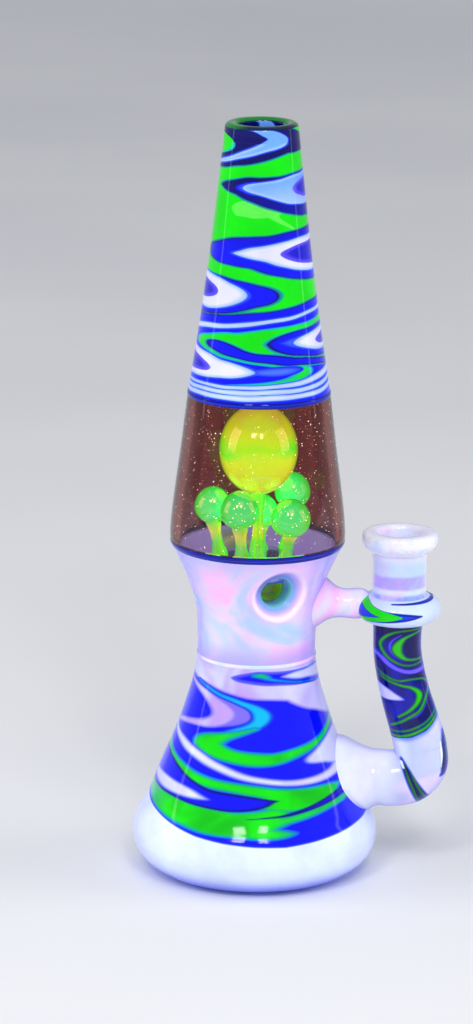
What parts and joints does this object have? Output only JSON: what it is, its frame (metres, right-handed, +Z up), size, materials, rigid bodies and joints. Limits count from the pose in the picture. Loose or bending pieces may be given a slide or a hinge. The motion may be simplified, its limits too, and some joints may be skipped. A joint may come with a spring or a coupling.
{
  "type": "lava lamp shaped glass water pipe",
  "caption": "Glass water pipe shaped like a lava lamp: flared base, pinched neck, window with glass lava, tapered mouth cone and a side arm with a ground socket.",
  "frame": {"origin": "centre of the flat underside, on the body's turning axis", "axes": "+Z up the body's axis from foot to mouthpiece, +X from the axis towards the side arm"},
  "size_m": [0.1093, 0.0844, 0.262],
  "materials": {
    "white_glass": "opaque white glass, flame polished",
    "striped_glass": "swept stripes of green, blue and white glass, flame polished",
    "cobalt_glass": "opaque cobalt blue glass, flame polished",
    "opal_glass": "pearly pink and lilac opal glass, flame polished",
    "window_glass": "clear maroon glass with fine metallic glitter in it",
    "clear_glass": "milky clear glass, ground in the socket",
    "green_glass": "bright green glass, flame polished",
    "yellow_glass": "yellow-green glass, flame polished"
  },
  "bodies": {
    "root": {"foot_ring": "white_glass", "base_floor": "white_glass", "base_wigwag_shell": "striped_glass", "neck_trim_ring": "cobalt_glass", "neck_shell": "opal_glass", "lower_trim_ring": "cobalt_glass", "window_shell": "window_glass", "upper_trim_ring": "cobalt_glass", "upper_wigwag_shell": "striped_glass", "mouthpiece_lip": "clear_glass", "swiss_tube": "opal_glass", "swiss_liner": "green_glass", "lava_root": "green_glass", "lava_ball": "yellow_glass", "lava_ball_stem": "green_glass", "lava_stem_1": "green_glass", "lava_stem_2": "green_glass", "lava_stem_3": "green_glass", "lava_stem_4": "green_glass", "lava_stem_5": "green_glass", "lava_drop_1": "green_glass", "lava_drop_2": "green_glass", "lava_drop_3": "green_glass", "lava_drop_4": "green_glass", "lava_drop_5": "green_glass", "inlet_collar": "white_glass", "inlet_elbow": "opal_glass", "downstem_arm": "striped_glass", "maria_ring": "striped_glass", "bridge_strut": "opal_glass", "joint_tube": "clear_glass", "joint_lip": "clear_glass"}
  },
  "joints": []
}
